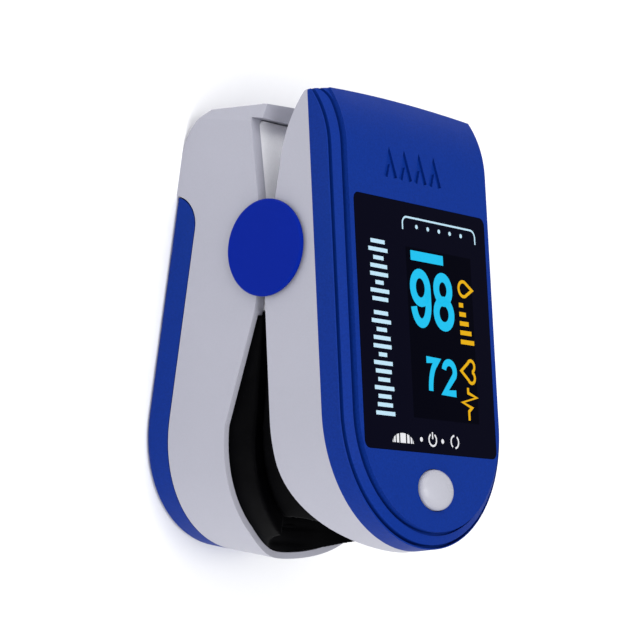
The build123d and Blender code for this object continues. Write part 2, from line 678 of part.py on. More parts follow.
def tray_screws():
    screws = []
    for x, y, low, high in TRAY_SCREWS:
        screw = post(SCREW_HEAD_R, x, y, high, high + 0.8)
        screw += post(SCREW_SHANK_R, x, y, low - SCREW_BITE, high + 0.1)
        screw -= cross_recess(x, y, high + 0.4, high + 1)
        screws += [screw, mirror(screw, about=Plane.YZ)]
    return Compound(screws)


def lower_pad():
    body = slab(HALF - PAD_MARGIN, L_MOUTH, -8.1, -10, FACE)
    top = [(y, z - PAD_SEAM) for y, z in SEAM_LINE]
    body &= side_polygon(
        (-8.1, SHELF[1]), *top, (-40.0, STEP_DOWN[1]), (-36.4, STEP_DOWN[1]), (-36.4, SHELF[1])
    )
    flange = slab(HALF - RIM_SHOWS - MATE, L_MOUTH, PAD_LEDGE[0][0] - MATE, -10, FACE)
    body += flange & side_polygon(*[(y, z + MATE) for y, z in PAD_LEDGE], top[2], top[1], (-8.6, top[0][1]))
    centre = PAD_LOW + CHANNEL_R / math.cos(math.radians(PAD_SLOPE))
    body -= Pos(0, SENSOR_Y, centre) * Rot(90 + PAD_SLOPE, 0, 0) * Cylinder(CHANNEL_R, 2 * FAR)
    body -= block((-3.75, 3.75), (SENSOR_Y - 4.25, SENSOR_Y + 4.25), (SHELF[1] - 1, SHELF[1] + 0.7))
    body -= block((-3.0, 3.0), (SENSOR_Y + 3.0, -8.0), (SHELF[1] - 1, SHELF[1] + 0.5))
    body -= post(LENS_R + MATE, 0, SENSOR_Y, -10, FACE)
    for x, y, _, high in TRAY_SCREWS[:1]:
        body -= both_sides(post(SCREW_HEAD_R + 0.1, x, y, high - 1, high + 1.0))
    return body


def sensor_board():
    return block((-3.5, 3.5), (SENSOR_Y - 4.0, SENSOR_Y + 4.0), (SHELF[1], SHELF[1] + 0.6), corner=0.5)


def photodiode():
    return block((-1.5, 1.5), (SENSOR_Y - 1.5, SENSOR_Y + 1.5), (SHELF[1] + 0.6, SHELF[1] + 1.2), corner=0.2)


def photodiode_lens():
    return post(LENS_R, 0, SENSOR_Y, SHELF[1] + 1.2, PAD_LOW - 0.1)


def cell(x, tip_y, direction):
    """One AAA-size cell with its nub at tip_y, facing along direction."""
    shoulder = tip_y - direction * CELL_NUB
    end = shoulder - direction * CELL_BODY
    body = rod_y(CELL_R, x, CELL_Z, *sorted((shoulder, end)))
    body = chamfer(body.edges().filter_by(GeomType.CIRCLE), 0.35)
    return body + rod_y(CELL_NUB_R, x, CELL_Z, *sorted((tip_y, shoulder - direction * 0.1)))


def contact_plate(x_span, y_from):
    return block(x_span, (y_from, y_from + PLATE_T), (CELL_Z - PLATE_DOWN, CELL_Z + PLATE_UP))


def contact_spring(x, y_span, base_first):
    """Conical battery spring, as the plain hollow cone that its turns fill."""
    length = y_span[1] - y_span[0]
    wide, slim, wire = 2.6, 1.6, 0.5
    outer = Cone(wide, slim, length) - Cone(wide - wire, slim - wire, length)
    turn = -90 if base_first else 90
    return Pos(x, sum(y_span) / 2, CELL_Z) * Rot(turn, 0, 0) * outer


def positive_contact():
    y = BAY_Y[0] + PLATE_T
    plate = contact_plate((2.3, 8.0), y)
    tip = RIGHT_CELL_TIP - (y + PLATE_T)
    leaf = Pos(CELL_X, y + PLATE_T + tip / 2, CELL_Z) * Rot(-90, 0, 0) * Cone(2.2, 1.2, tip)
    return plate + leaf


def battery_door():
    low, top = BASE, DOOR_TOP
    door = slab(HALF, L_MOUTH, FAR, low, top)
    bottom = [edge for edge in door.edges().group_by(Axis.Z)[0] if edge.center().Y < FAR - 1]
    door = fillet(bottom, DOOR_EDGE_R)
    slack = DOOR_END_R * (1 - math.sqrt(0.5))
    extra = top - low - DOOR_END_R
    end_top = (DOOR_END - DOOR_END_R, top)
    outline = Polyline((DOOR_END, low), (-FAR, low), (-FAR, top), end_top)
    end = ThreePointArc(end_top, (DOOR_END - slack, top - slack + extra), (DOOR_END, low))
    door &= side_prism([*outline.edges(), *end.edges()])
    door -= slab(HALF - DOOR_WALL, L_MOUTH, FAR, low + DOOR_FLOOR, FACE)
    for step in range(3):
        tip = -13.0 - 3.2 * step
        chevron = trace(Polyline((-4.5, tip + 2.4), (0, tip), (4.5, tip + 2.4)), line_width=1.1)
        door -= extrude(Pos(0, 0, low - 0.1) * chevron, amount=0.5)
    rail_x = HALF - DOOR_WALL
    door += both_sides(block((rail_x - 0.5, rail_x + 0.1), (-20.0, -2.0), (low + 2.0, low + 2.6)))
    across = (-TONGUE_HALF, TONGUE_HALF)
    tongue = block(across, (DOOR_END - 2.5, DOOR_END + 2.4), (SHELL_FLOOR + SEAM, TONGUE_TOP))
    tongue += block(across, (DOOR_END - 2.5, DOOR_END - 1.3), (low + DOOR_FLOOR - 0.1, TONGUE_TOP))
    return door + tongue


# ================================================================ hinge pieces
def hinge_pin():
    return disc_x(PIN_R, PIN_FROM, PIN_TO)


def hinge_cap():
    outer = HALF + CAP_PROUD
    cap = disc_x(CAP_R, HALF + CAP_GAP, outer) + disc_x(EAR_R - 0.2, HALF, HALF + CAP_GAP)
    cap = chamfer(cap.edges().filter_by(GeomType.CIRCLE).sort_by(Axis.X)[-1], 0.2)
    return cap + disc_x(CAP_PLUG_R, PIN_TO + MATE, HALF)


def torsion_spring():
    """Closing spring, as the plain sleeve that its coil fills with its two straight arms."""
    outer, inner = COIL_R + COIL_WIRE_R, COIL_R - COIL_WIRE_R
    coil = disc_x(outer, *COIL) - disc_x(inner, COIL[0] - 1, COIL[1] + 1)
    arm = Pos(0, 0, -ARM_LENGTH / 2) * Cylinder(COIL_WIRE_R, ARM_LENGTH)
    level = Rot(90, 0, 0)
    low_arm = Pos(COIL[0] + COIL_WIRE_R, 0, 0) * Rot(-ARM_TILT, 0, 0) * Pos(0, 0, -COIL_R) * level
    high_arm = Pos(COIL[1] - COIL_WIRE_R, 0, 0) * Rot(-JAW_TILT, 0, 0) * Pos(0, 0, COIL_R) * level
    return coil + low_arm * arm + high_arm * arm


def hinge_ribbon():
    """Flexible circuit from the sensor board, under the finger pad, past the hinge to the main board."""
    upper = [from_display_frame(y, z) for y, z in ((5.5, 1.5), (5.5, 6.2), (8.0, 6.2))]
    level = SHELF[1] + 0.3
    path = FilletPolyline(
        (SENSOR_Y + 4.05, level), (-5.0, level), (0.5, -4.8), (4.2, -3.6), *upper, radius=0.7
    )
    return extrude(Plane.YZ.offset(-2.8) * trace(path, line_width=0.25), amount=5.6)


def from_display_frame(y, z):
    """A side-view point of the display half's level frame, in the battery half's frame."""
    angle = math.radians(JAW_TILT)
    return (y * math.cos(angle) + z * math.sin(angle), z * math.cos(angle) - y * math.sin(angle))


# ================================================================ assembly
display_half = {
    "upper_cover": upper_cover(),
    "display_window": display_window(),
    "window_tape": window_tape(),
    "display_glass": display_glass(),
    "display_holder": display_holder(),
    "display_flex": display_flex(),
    "main_board": main_board(),
    "microcontroller": chip(-0.5, -12.0, 7.0, 7.0, 1.0, top_side=False),
    "signal_amplifier": chip(8.0, -12.0, 4.0, 4.0, 0.9, top_side=False),
    "display_driver_supply": chip(-10.4, -7.0, 3.0, 3.0, 0.9),
    "crystal": chip(-8.2, -12.0, 3.2, 5.0, 0.9, top_side=False, notch=False),
    "chip_parts": chip_parts(),
    "inductor": inductor(),
    "flex_connector": flex_connector(),
    "switch_body": switch_body(),
    "switch_plunger": switch_plunger(),
    "power_button": power_button(),
    "emitter_board": emitter_board(),
    "emitter_leds": emitter_leds(),
    "emitter_lens": emitter_lens(),
    "upper_shell": upper_shell(),
    "upper_pad": upper_pad(),
    "cover_screws": cover_screws(),
}

battery_half = {
    "lower_shell": lower_shell(),
    "battery_tray": battery_tray(),
    "lower_pad": lower_pad(),
    "tray_screws": tray_screws(),
    "hinge_cover": hinge_cover(),
    "sensor_board": sensor_board(),
    "photodiode": photodiode(),
    "photodiode_lens": photodiode_lens(),
    "left_cell": cell(-CELL_X, LEFT_CELL_TIP, 1),
    "right_cell": cell(CELL_X, RIGHT_CELL_TIP, -1),
    "bridge_contact": contact_plate((-9.0, 9.0), LEFT_CELL_TIP),
    "negative_contact": contact_plate((-8.0, -2.3), BAY_Y[0] + PLATE_T),
    "positive_contact": positive_contact(),
    "mouth_end_spring": contact_spring(
        -CELL_X, (BAY_Y[0] + 2 * PLATE_T, LEFT_CELL_TIP - CELL_NUB - CELL_BODY), True
    ),
    "pinch_end_spring": contact_spring(
        CELL_X, (RIGHT_CELL_TIP + CELL_NUB + CELL_BODY, LEFT_CELL_TIP), False
    ),
    "battery_door": battery_door(),
    "hinge_ribbon": hinge_ribbon(),
}
for side, place in (("left", Plane.YZ), ("right", None)):
    for name, shape in (
        ("hinge_pin", hinge_pin()),
        ("hinge_cap", hinge_cap()),
        ("torsion_spring", torsion_spring()),
    ):
        battery_half[f"{name}_{side}"] = mirror(shape, about=place) if place else shape

tilt = Rot(-JAW_TILT, 0, 0)
outline = [tilt * display_half[name] for name in ("upper_cover", "upper_shell", "power_button")]
outline += [battery_half[name] for name in ("lower_shell", "battery_door")]
boxes = [shape.bounding_box() for shape in outline]
middle_y = (min(box.min.Y for box in boxes) + max(box.max.Y for box in boxes)) / 2

# The origin is on the resting surface, under the middle of the whole object.
to_base = Pos(0, -middle_y, -BASE)
print("hinge axis at", -middle_y, -BASE)
os.makedirs("parts", exist_ok=True)
for name, shape in battery_half.items():
    export_step(to_base * shape, f"parts/{name}.step")
for name, shape in display_half.items():
    export_step(to_base * tilt * shape, f"parts/{name}.step")
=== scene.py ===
import json
import math

import bmesh
import bpy
from mathutils import Matrix, Vector, noise


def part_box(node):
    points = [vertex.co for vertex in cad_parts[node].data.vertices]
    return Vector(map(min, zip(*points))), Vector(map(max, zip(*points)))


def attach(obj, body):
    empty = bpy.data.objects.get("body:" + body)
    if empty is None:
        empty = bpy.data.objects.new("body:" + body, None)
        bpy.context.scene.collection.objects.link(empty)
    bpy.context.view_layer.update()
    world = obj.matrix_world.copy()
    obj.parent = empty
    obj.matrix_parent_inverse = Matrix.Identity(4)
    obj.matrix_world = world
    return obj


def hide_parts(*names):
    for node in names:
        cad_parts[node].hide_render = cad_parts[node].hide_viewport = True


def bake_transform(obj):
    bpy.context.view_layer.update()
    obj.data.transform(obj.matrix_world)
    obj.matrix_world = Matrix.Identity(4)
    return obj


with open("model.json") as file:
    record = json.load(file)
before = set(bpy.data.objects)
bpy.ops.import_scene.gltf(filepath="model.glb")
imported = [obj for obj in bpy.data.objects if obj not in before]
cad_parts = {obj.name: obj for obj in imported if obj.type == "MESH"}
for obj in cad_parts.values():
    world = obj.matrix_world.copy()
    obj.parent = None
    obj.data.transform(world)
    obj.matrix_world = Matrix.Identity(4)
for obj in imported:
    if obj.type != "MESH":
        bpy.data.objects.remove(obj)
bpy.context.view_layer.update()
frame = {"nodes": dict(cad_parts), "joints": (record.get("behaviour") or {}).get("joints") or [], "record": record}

MM = 0.001
joints = {joint["name"]: joint for joint in frame["joints"]}
HINGE = Vector(joints["jaw_hinge"]["pos_m"])
PRESS = Vector(joints["button_press"]["axis"])
JAW_TILT = math.atan2(-PRESS.y, -PRESS.z)

# Places on the battery half are measured from the hinge; the display half's own frame is tilted about it.
BATTERY_FRAME = Matrix.Translation(HINGE)
DISPLAY_FRAME = BATTERY_FRAME @ Matrix.Rotation(-JAW_TILT, 4, "X")


# ---------------------------------------------------------------- measuring the frame
def local_box(node, place):
    """Lowest and highest corner of a CAD node in the given frame, in millimetres."""
    to_local = place.inverted()
    points = [to_local @ vertex.co / MM for vertex in frame["nodes"][node].data.vertices]
    low = Vector([min(point[axis] for point in points) for axis in range(3)])
    high = Vector([max(point[axis] for point in points) for axis in range(3)])
    return low, high


WINDOW_LOW, WINDOW_HIGH = local_box("display_window", DISPLAY_FRAME)
WINDOW_FACE = WINDOW_HIGH.z


# ---------------------------------------------------------------- node helpers
def new_material(name):
    material = bpy.data.materials.new(name)
    material.use_nodes = True
    tree = material.node_tree
    return material, tree, tree.nodes["Principled BSDF"]


def set_inputs(node, **values):
    for name, value in values.items():
        node.inputs[name.replace("_", " ")].default_value = value


def coordinates(tree):
    """Object coordinates: metres, fixed to the piece."""
    return tree.nodes.new("ShaderNodeTexCoord").outputs["Object"]


def noise_node(tree, scale, detail=3.0, roughness=0.5, distortion=0.0):
    node = tree.nodes.new("ShaderNodeTexNoise")
    set_inputs(node, Scale=scale, Detail=detail, Roughness=roughness, Distortion=distortion)
    tree.links.new(coordinates(tree), node.inputs["Vector"])
    return node.outputs["Fac"]


def map_range(tree, value, low, high, out_low, out_high):
    node = tree.nodes.new("ShaderNodeMapRange")
    for index, number in enumerate((low, high, out_low, out_high), start=1):
        node.inputs[index].default_value = number
    tree.links.new(value, node.inputs[0])
    return node.outputs["Result"]


def maths(tree, operation, first, second):
    node = tree.nodes.new("ShaderNodeMath")
    node.operation = operation
    for socket, value in zip(node.inputs, (first, second)):
        if isinstance(value, (int, float)):
            socket.default_value = value
        else:
            tree.links.new(value, socket)
    return node.outputs["Value"]


def mix_colour(tree, factor, first, second, mode="MIX"):
    node = tree.nodes.new("ShaderNodeMix")
    node.data_type = "RGBA"
    node.blend_type = mode
    sockets = (node.inputs["Factor"], node.inputs[6], node.inputs[7])
    for socket, value in zip(sockets, (factor, first, second)):
        if isinstance(value, bpy.types.NodeSocket):
            tree.links.new(value, socket)
        else:
            socket.default_value = value
    return node.outputs[2]


def bump(tree, shader, height, strength, distance):
    node = tree.nodes.new("ShaderNodeBump")
    set_inputs(node, Strength=strength, Distance=distance)
    tree.links.new(height, node.inputs["Height"])
    tree.links.new(node.outputs["Normal"], shader.inputs["Normal"])


def rgb(red, green, blue, gain=1.0):
    """A colour from its eight-bit display values."""
    def linear(value):
        value /= 255
        return value / 12.92 if value <= 0.04045 else ((value + 0.055) / 1.055) ** 2.4

    return (linear(red) * gain, linear(green) * gain, linear(blue) * gain, 1.0)


def scaled(colour, gain):
    return tuple(min(1.0, part * gain) for part in colour[:3]) + (1.0,)


# ---------------------------------------------------------------- materials
def moulded(name, colour, roughness, grain=3800, depth=0.012, speckle=0.08, coat=0.0, shine=0.3):
    """Moulded plastic: a fine spark-eroded grain, faint flow clouds and a slightly uneven polish."""
    material, tree, shader = new_material(name)
    fine = noise_node(tree, grain, detail=2.0, roughness=0.6)
    clouds = noise_node(tree, 130, detail=3.0)
    dark, light = scaled(colour, 1 - speckle), scaled(colour, 1 + speckle)
    flecked = mix_colour(tree, map_range(tree, fine, 0.3, 0.7, 0.0, 1.0), dark, light)
    clouded = mix_colour(tree, map_range(tree, clouds, 0.35, 0.65, 0.0, 0.35), flecked, scaled(colour, 1.05))
    tree.links.new(clouded, shader.inputs["Base Color"])
    tree.links.new(
        map_range(tree, clouds, 0.3, 0.7, roughness - 0.04, roughness + 0.04), shader.inputs["Roughness"]
    )
    set_inputs(shader, Coat_Weight=coat, Coat_Roughness=0.25, IOR=1.49, Specular_IOR_Level=shine)
    bump(tree, shader, fine, 0.5, depth * MM)
    return material


def silicone(name):
    """Matt black silicone with a soft bloom and a fine leathery skin."""
    material, tree, shader = new_material(name)
    fine = noise_node(tree, 5200, detail=3.0, roughness=0.65)
    cloud = noise_node(tree, 260, detail=4.0)
    dust = mix_colour(tree, map_range(tree, cloud, 0.4, 0.75, 0.0, 0.5), rgb(0, 0, 1), rgb(3, 3, 5))
    tree.links.new(dust, shader.inputs["Base Color"])
    tree.links.new(map_range(tree, cloud, 0.3, 0.7, 0.62, 0.5), shader.inputs["Roughness"])
    set_inputs(shader, IOR=1.41, Specular_IOR_Level=0.04)
    bump(tree, shader, fine, 0.35, 0.01 * MM)
    return material


def window_material(name, screen_low, screen_high):
    """Black printed window, polished, with the slightly bluer glass of the display area behind it."""
    material, tree, shader = new_material(name)
    split = tree.nodes.new("ShaderNodeSeparateXYZ")
    turn = tree.nodes.new("ShaderNodeMapping")
    turn.vector_type = "TEXTURE"
    turn.inputs["Location"].default_value = HINGE
    turn.inputs["Rotation"].default_value = (-JAW_TILT, 0, 0)
    tree.links.new(coordinates(tree), turn.inputs["Vector"])
    tree.links.new(turn.outputs["Vector"], split.inputs["Vector"])
    inside = None
    for axis, low, high in (("X", screen_low[0], screen_high[0]), ("Y", screen_low[1], screen_high[1])):
        middle, half = (low + high) / 2 * MM, (high - low) / 2 * MM
        away = maths(tree, "ABSOLUTE", maths(tree, "SUBTRACT", split.outputs[axis], middle), 0.0)
        within = map_range(tree, away, half - 0.08 * MM, half + 0.08 * MM, 1.0, 0.0)
        inside = within if inside is None else maths(tree, "MULTIPLY", inside, within)
    smudge = noise_node(tree, 90, detail=5.0)
    field = mix_colour(tree, inside, rgb(4, 4, 19), rgb(0, 0, 9))
    tree.links.new(field, shader.inputs["Base Color"])
    tree.links.new(map_range(tree, smudge, 0.35, 0.7, 0.16, 0.24), shader.inputs["Roughness"])
    set_inputs(shader, IOR=1.38, Specular_IOR_Level=0.03)
    return material


def print_material(name, colour):
    """Screen-printed ink with a fine mesh in its surface."""
    material, tree, shader = new_material(name)
    mesh = noise_node(tree, 9000, detail=1.0)
    ink = mix_colour(tree, map_range(tree, mesh, 0.3, 0.7, 0.0, 1.0), scaled(colour, 0.94), colour)
    tree.links.new(ink, shader.inputs["Base Color"])
    set_inputs(shader, Roughness=0.5, Specular_IOR_Level=0.2)
    bump(tree, shader, mesh, 0.3, 0.004 * MM)
    return material


def lit_material(name, colour, strength):
    """Lit display segments, made of fine glowing dots."""
    material, tree, shader = new_material(name)
    dots = noise_node(tree, 6500, detail=0.0)
    glow = mix_colour(tree, map_range(tree, dots, 0.3, 0.7, 0.0, 1.0), scaled(colour, 0.92), colour)
    tree.links.new(glow, shader.inputs["Emission Color"])
    set_inputs(shader, Emission_Strength=strength, Roughness=0.4, Specular_IOR_Level=0.1)
    shader.inputs["Base Color"].default_value = scaled(colour, 0.05)
    return material


def metal(name, colour, roughness, brushed=True):
    """Plated or drawn steel with fine draw lines and dull patches."""
    material, tree, shader = new_material(name)
    lines = noise_node(tree, 4200 if brushed else 1500, detail=4.0, roughness=0.7, distortion=0.6)
    patches = noise_node(tree, 420, detail=3.0)
    tone = mix_colour(tree, map_range(tree, patches, 0.35, 0.7, 0.0, 1.0), colour, scaled(colour, 0.78))
    tree.links.new(tone, shader.inputs["Base Color"])
    tree.links.new(map_range(tree, lines, 0.3, 0.7, roughness, roughness + 0.16), shader.inputs["Roughness"])
    set_inputs(shader, Metallic=1.0)
    bump(tree, shader, lines, 0.3, 0.006 * MM)
    return material


def clear_plastic(name):
    """Clear moulded lens, faintly blue, with light surface marks."""
    material, tree, shader = new_material(name)
    marks = noise_node(tree, 700, detail=4.0)
    tree.links.new(map_range(tree, marks, 0.4, 0.7, 0.04, 0.14), shader.inputs["Roughness"])
    tint = mix_colour(tree, marks, rgb(214, 220, 238), rgb(232, 236, 246))
    tree.links.new(tint, shader.inputs["Base Color"])
    set_inputs(shader, Transmission_Weight=0.85, IOR=1.5)
    return material


def board_material(name):
    """Green solder mask over copper tracks, with bare pads."""
    material, tree, shader = new_material(name)
    tracks = tree.nodes.new("ShaderNodeTexBrick")
    set_inputs(tracks, Scale=420.0, Mortar_Size=0.07, Mortar_Smooth=0.2, Brick_Width=0.9, Row_Height=0.35)
    tree.links.new(coordinates(tree), tracks.inputs["Vector"])
    mask = mix_colour(tree, tracks.outputs["Fac"], rgb(9, 74, 38), rgb(24, 108, 60))
    pads = tree.nodes.new("ShaderNodeTexVoronoi")
    set_inputs(pads, Scale=520.0, Randomness=0.9)
    tree.links.new(coordinates(tree), pads.inputs["Vector"])
    pad = map_range(tree, pads.outputs["Distance"], 0.16, 0.2, 1.0, 0.0)
    tree.links.new(mix_colour(tree, pad, mask, rgb(196, 178, 120)), shader.inputs["Base Color"])
    tree.links.new(pad, shader.inputs["Metallic"])
    set_inputs(shader, Roughness=0.35)
    bump(tree, shader, tracks.outputs["Fac"], 0.4, 0.02 * MM)
    return material


def ribbon_material(name):
    """Amber film with copper tracks running along it."""
    material, tree, shader = new_material(name)
    wave = tree.nodes.new("ShaderNodeTexWave")
    wave.bands_direction = "X"
    set_inputs(wave, Scale=260.0, Distortion=0.0)
    tree.links.new(coordinates(tree), wave.inputs["Vector"])
    track = map_range(tree, wave.outputs["Fac"], 0.45, 0.55, 0.0, 1.0)
    tree.links.new(mix_colour(tree, track, rgb(150, 84, 22), rgb(196, 122, 48)), shader.inputs["Base Color"])
    set_inputs(shader, Roughness=0.3, Coat_Weight=0.5)
    bump(tree, shader, track, 0.4, 0.02 * MM)
    return material


def cell_material(name, tip_y, facing):
    """Printed cell sleeve: dark body, gold band at the positive end and bare steel at both ends."""
    material, tree, shader = new_material(name)
    split = tree.nodes.new("ShaderNodeSeparateXYZ")
    tree.links.new(coordinates(tree), split.inputs["Vector"])
    back = maths(tree, "MULTIPLY", maths(tree, "SUBTRACT", split.outputs["Y"], tip_y), -facing / MM)
    gold = map_range(tree, back, 12.95, 13.05, 1.0, 0.0)
    steel_front = map_range(tree, back, 1.35, 1.45, 1.0, 0.0)
    steel_back = map_range(tree, back, 43.95, 44.05, 0.0, 1.0)
    steel = maths(tree, "MAXIMUM", steel_front, steel_back)
    scuffs = noise_node(tree, 600, detail=5.0)
    body = mix_colour(tree, gold, rgb(24, 26, 32), rgb(196, 140, 62))
    stripe_on = map_range(tree, back, 13.5, 13.6, 0.0, 1.0)
    stripe_off = map_range(tree, back, 14.1, 14.2, 1.0, 0.0)
    stripe = maths(tree, "MULTIPLY", stripe_on, stripe_off)
    body = mix_colour(tree, stripe, body, rgb(206, 208, 214))
    body = mix_colour(tree, map_range(tree, scuffs, 0.5, 0.8, 0.0, 0.3), body, rgb(90, 90, 96))
    tree.links.new(mix_colour(tree, steel, body, rgb(176, 176, 182)), shader.inputs["Base Color"])
    shine = maths(tree, "MAXIMUM", steel, maths(tree, "MULTIPLY", gold, 0.7))
    tree.links.new(shine, shader.inputs["Metallic"])
    tree.links.new(map_range(tree, scuffs, 0.3, 0.7, 0.24, 0.4), shader.inputs["Roughness"])
    bump(tree, shader, scuffs, 0.2, 0.01 * MM)
    return material


BLUE = rgb(8, 44, 128)
CAP_BLUE = rgb(0, 30, 138)
WHITE = rgb(167, 167, 178)
# The tray plastic is much paler than the shells' white: partly its own pale plastic, partly painted light that
# lifts the shaded gap between the halves.
TRAY_WHITE_WITH_PAINTED_LIGHT = rgb(248, 248, 251)
BUTTON_WHITE = rgb(174, 174, 183)
materials = {
    "blue_plastic": moulded("blue_plastic", BLUE, 0.5, grain=3600, depth=0.02, speckle=0.12, shine=0.06),
    "blue_cap_plastic": moulded(
        "blue_cap_plastic", CAP_BLUE, 0.42, grain=5200, depth=0.008, speckle=0.05, shine=0.04
    ),
    "white_plastic": moulded("white_plastic", WHITE, 0.42, grain=4200, depth=0.008, speckle=0.02),
    # pale tray plastic, with painted light lifting the shaded gap between the halves
    "tray_plastic": moulded("tray_plastic", TRAY_WHITE_WITH_PAINTED_LIGHT, 0.45, grain=4200, depth=0.01, speckle=0.03),
    "button_plastic": moulded(
        "button_plastic", BUTTON_WHITE, 0.3, grain=5200, depth=0.006, speckle=0.02, coat=0.1
    ),
    "silicone": silicone("silicone"),
    "clear_lens": clear_plastic("clear_lens"),
    "spring_steel": metal("spring_steel", rgb(200, 200, 204), 0.22),
    "screw_steel": metal("screw_steel", rgb(172, 172, 176), 0.3, brushed=False),
    "circuit_board": board_material("circuit_board"),
    "chip_resin": moulded("chip_resin", rgb(26, 26, 28), 0.6, grain=6000, depth=0.02, speckle=0.2),
    "ceramic_parts": moulded("ceramic_parts", rgb(150, 120, 90), 0.5, grain=3000, depth=0.02, speckle=0.2),
    "ribbon_film": ribbon_material("ribbon_film"),
    "display_glass": moulded(
        "display_glass", rgb(10, 10, 16), 0.15, grain=900, depth=0.002, speckle=0.1, coat=0.6
    ),
    "tape": moulded("tape", rgb(18, 18, 18), 0.7, grain=2600, depth=0.03, speckle=0.25),
    "holder_plastic": moulded("holder_plastic", rgb(34, 34, 37), 0.55, grain=3600, depth=0.02, speckle=0.15),
}
SCREEN_LOW, SCREEN_HIGH = (-3.65, -22.2), (10.25, -0.1)
materials["window_plastic"] = window_material("window_plastic", SCREEN_LOW, SCREEN_HIGH)
print_pale = print_material("print_pale", rgb(176, 208, 224))
print_white = print_material("print_white", rgb(214, 214, 217))
lit_cyan = lit_material("lit_cyan", rgb(24, 200, 248), 0.9)
lit_orange = lit_material("lit_orange", rgb(240, 182, 0), 0.9)


def coat_cad_nodes():
    slots = {part["node"]: part["material_slot"] for part in frame["record"]["subparts"]}
    for node, piece in frame["nodes"].items():
        material = materials.get(slots[node])
        if material:
            piece.data.materials.clear()
            piece.data.materials.append(material)
    for node, facing in (("left_cell", 1), ("right_cell", -1)):
        low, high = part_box(node)
        tip_y = high.y if facing > 0 else low.y
        piece = frame["nodes"][node]
        piece.data.materials.clear()
        piece.data.materials.append(cell_material(node + "_sleeve", tip_y, facing))


coat_cad_nodes()


# ---------------------------------------------------------------- mesh helpers
def add_piece(name, mesh, material, body, place=None):
    piece = bpy.data.objects.new(name, mesh)
    bpy.context.scene.collection.objects.link(piece)
    if place is not None:
        mesh.transform(place)
    mesh.materials.clear()
    mesh.materials.append(material)
    if body:
        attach(piece, body)
    return piece


def arc(centre, radius_x, radius_y, start, end, steps=24):
    """Points along an ellipse's arc, angles in degrees, counter-clockwise from +X."""
    points = []
    for step in range(steps + 1):
        angle = math.radians(start + (end - start) * step / steps)
        points.append((centre[0] + radius_x * math.cos(angle), centre[1] + radius_y * math.sin(angle)))
    return points


def ribbon(points, width, closed=False):
    """A flat stroke along a line, as quads given by their corner points."""
    count = len(points)
    sides = []
    for index, point in enumerate(points):
        here = Vector(point)
        before = Vector(points[index - 1]) if index or closed else None
        after = Vector(points[(index + 1) % count]) if index < count - 1 or closed else None
        arrive = (here - before).normalized() if before is not None else (after - here).normalized()
        leave = (after - here).normalized() if after is not None else arrive
        mean = (arrive + leave).normalized()
        across = Vector((-mean.y, mean.x))
        reach = width / 2 / max(0.5, across.dot(Vector((-leave.y, leave.x))))
        sides.append((here + across * reach, here - across * reach))
    pairs = zip(sides, sides[1:] + sides[:1]) if closed else zip(sides, sides[1:])
    return [(a[0], a[1], b[1], b[0]) for a, b in pairs]


LIT_HEIGHT = 0.02           # how far the marks stand on the window's face
INK_HEIGHT = 0.012


def printed(name, polygons, material, height):
    """Flat marks on the window's face: each polygon becomes a thin closed plate."""
    graph = bmesh.new()
    for polygon in polygons:
        area = sum(a[0] * b[1] - b[0] * a[1] for a, b in zip(polygon, list(polygon[1:]) + [polygon[0]]))
        ordered = polygon if area > 0 else list(reversed(polygon))
        top = [graph.verts.new((x * MM, y * MM, (WINDOW_FACE + height) * MM)) for x, y in ordered]
        graph.faces.new(top)
    bmesh.ops.remove_doubles(graph, verts=graph.verts, dist=0.002 * MM)
    bmesh.ops.solidify(graph, geom=graph.faces[:], thickness=height * MM * 0.9)
    bmesh.ops.recalc_face_normals(graph, faces=graph.faces)
    mesh = bpy.data.meshes.new(name)
    graph.to_mesh(mesh)
    graph.free()
    return add_piece(name, mesh, material, "display_half", DISPLAY_FRAME)


def shifted(points, x, y):
    return [(px + x, py + y) for px, py in points]


# ---------------------------------------------------------------- lit numerals
def digit_strokes(digit, wide, tall):
    """Centre lines of a numeral in a box of that size round the origin, each with whether it is closed."""
    half_x, half_y = wide / 2, tall / 2
    if digit == "8":
        return [
            (arc((0, half_y * 0.50), half_x * 0.88, half_y * 0.50, 0, 345), True),
            (arc((0, -half_y * 0.48), half_x, half_y * 0.52, 0, 345), True),
        ]
    if digit == "9":
        bowl = (arc((0, half_y * 0.42), half_x, half_y * 0.58, 0, 345), True)
        tail = [(half_x, half_y * 0.42), (half_x, -half_y * 0.1)]
        tail += arc((0, -half_y * 0.2), half_x, half_y * 0.8, -4, -168, steps=18)
        return [bowl, (tail, False)]
    if digit == "7":
        leg = arc((half_x * 1.3, -half_y), half_x * 1.7, half_y * 1.95, 90 + 16, 180, steps=12)
        return [([(-half_x, half_y), (half_x, half_y), *leg[1:]], False)]
    curl = arc((0, half_y * 0.42), half_x, half_y * 0.58, 172, -30, steps=22)
    return [(curl + [(-half_x, -half_y), (half_x * 1.08, -half_y)], False)]


def numerals():
    polygons = []
    for digit, x, y, wide, tall, stroke in (
        ("9", -0.95, -6.6, 3.1, 6.5, 1.22),
        ("8", 3.85, -6.6, 3.2, 6.5, 1.22),
        ("7", 0.72, -16.5, 2.3, 4.0, 0.9),
        ("2", 4.35, -16.5, 2.3, 4.0, 0.9),
    ):
        for line, closed in digit_strokes(digit, wide, tall):
            polygons += ribbon(shifted(line, x, y), stroke, closed)
    polygons.append([(-2.67, -1.75), (4.2, -1.75), (4.2, -0.47), (-2.67, -0.47)])
    return printed("lit_numerals", polygons, lit_cyan, LIT_HEIGHT)


# ---------------------------------------------------------------- orange marks beside the numerals
def disc(centre, radius, steps=20):
    return arc(centre, radius, radius, 0, 360 - 360 / steps, steps=steps - 1)


def drop_outline(centre, size):
    """A drop, its point turned to +X, as an outline."""
    round_end = arc(centre, size * 0.5, size * 0.5, 50, 310, steps=20)
    return round_end + [(centre[0] + size * 0.95, centre[1])]


